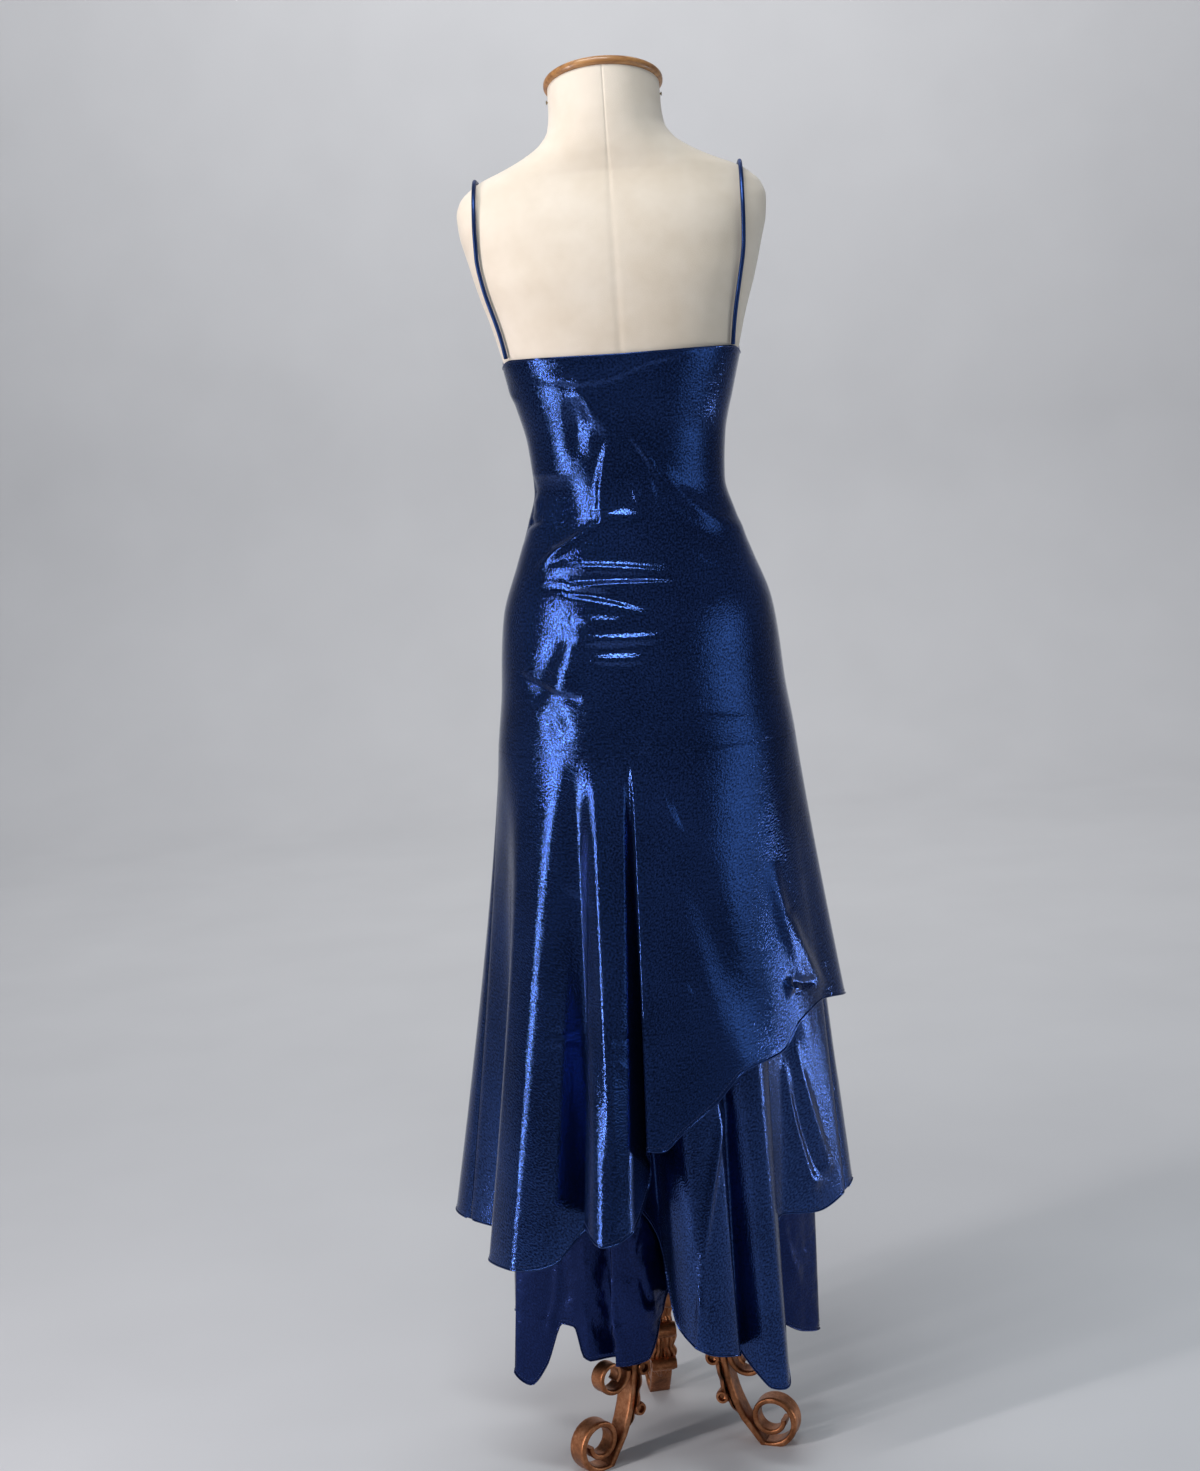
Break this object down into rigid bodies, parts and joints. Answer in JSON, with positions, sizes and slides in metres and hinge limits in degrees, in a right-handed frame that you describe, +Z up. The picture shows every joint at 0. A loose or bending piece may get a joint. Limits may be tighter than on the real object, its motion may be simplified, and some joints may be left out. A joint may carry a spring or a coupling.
{
  "type": "evening gown on a dress form stand",
  "caption": "Slip-cut satin evening gown with thin straps and slanting layered skirt, worn on a padded limbless dress form with a scroll-legged cast stand.",
  "frame": {"origin": "on the floor under the middle of the whole object's plan", "axes": "+Z up, the gown's back looks along -Y, the front along +Y, the wearer's right is +X"},
  "size_m": [0.511, 0.4926, 1.7155],
  "materials": {
    "satin": "liquid metallic satin, royal to navy blue, grainy highlights",
    "underskirt_satin": "duller creased satin, navy blue",
    "jersey": "matt cream knitted jersey over padding",
    "cap_wood": "varnished orange-brown wood",
    "cast_bronze": "cast metal with a copper bronze finish, darker in the hollows"
  },
  "bodies": {
    "root": {"back_bodice": "satin", "front_bodice": "satin", "strap_right": "satin", "strap_left": "satin", "upper_flounce_back": "satin", "upper_flounce_front": "satin", "lower_flounce_back": "satin", "lower_flounce_front": "satin", "underskirt_back": "underskirt_satin", "underskirt_front": "underskirt_satin", "torso_form": "jersey", "neck_cap": "cap_wood", "pole": "cast_bronze", "hub": "cast_bronze", "leg_1": "cast_bronze", "leg_2": "cast_bronze", "leg_3": "cast_bronze", "leg_scroll_1": "cast_bronze", "leg_scroll_2": "cast_bronze", "leg_scroll_3": "cast_bronze"}
  },
  "joints": []
}
